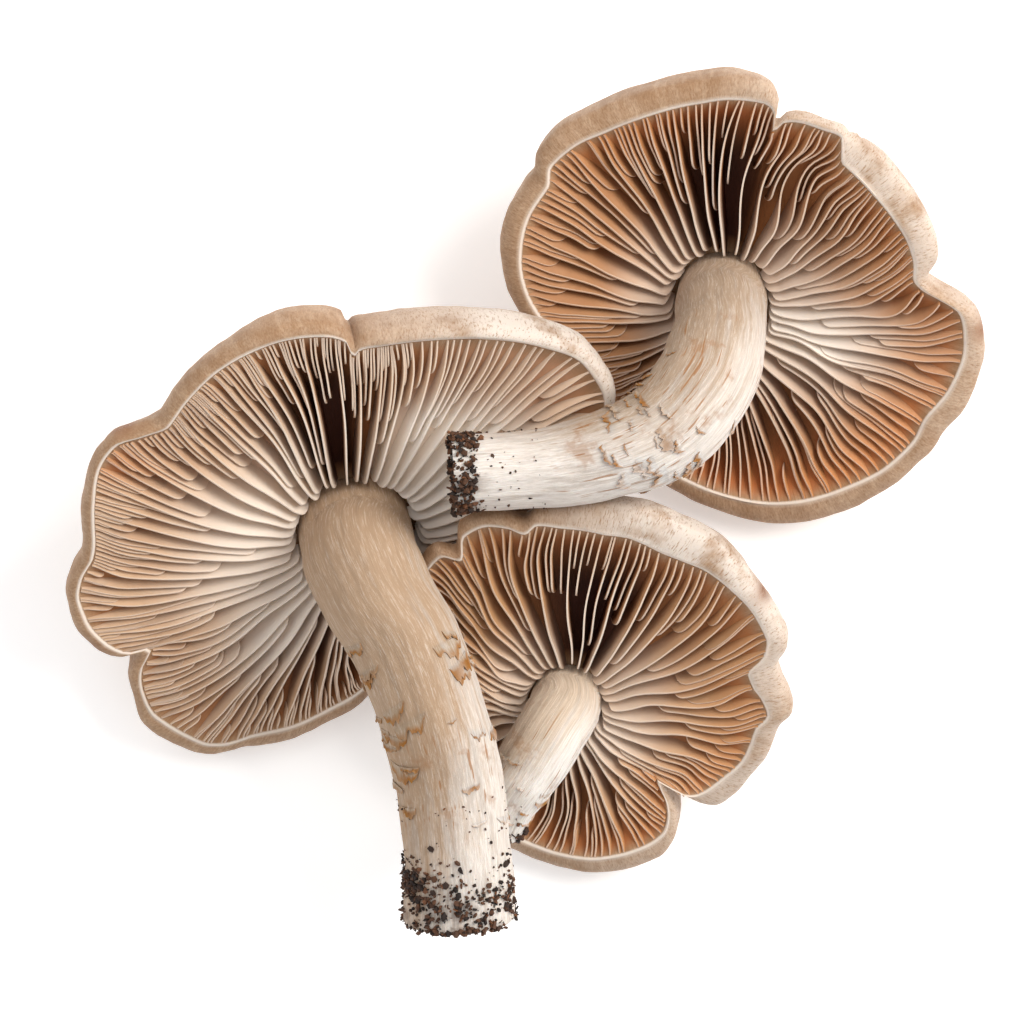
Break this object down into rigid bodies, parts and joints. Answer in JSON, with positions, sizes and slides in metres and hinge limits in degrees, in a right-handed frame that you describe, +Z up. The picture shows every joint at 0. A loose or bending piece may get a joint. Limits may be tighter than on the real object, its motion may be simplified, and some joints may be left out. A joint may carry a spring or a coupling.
{
  "type": "gilled mushroom cluster",
  "caption": "Heap of whole gilled mushrooms lying on their caps with gills and soil-tipped stems up, for food and kitchen scenes.",
  "frame": {"origin": "centre of the bounding box, at the surface that the caps lie on", "axes": "+Z up out of that surface, towards the viewer of the picture; +Y towards the picture's top, +X to its right"},
  "size_m": [0.1524, 0.1442, 0.0474],
  "materials": {
    "cap": "matte",
    "stem": "matte",
    "soil": "matte"
  },
  "bodies": {
    "root": {"cap_large": "cap", "stem_large": "stem", "soil_large": "soil", "cap_tall": "cap", "stem_tall": "stem", "soil_tall": "soil", "cap_small": "cap", "stem_small": "stem", "soil_small": "soil"}
  },
  "joints": []
}
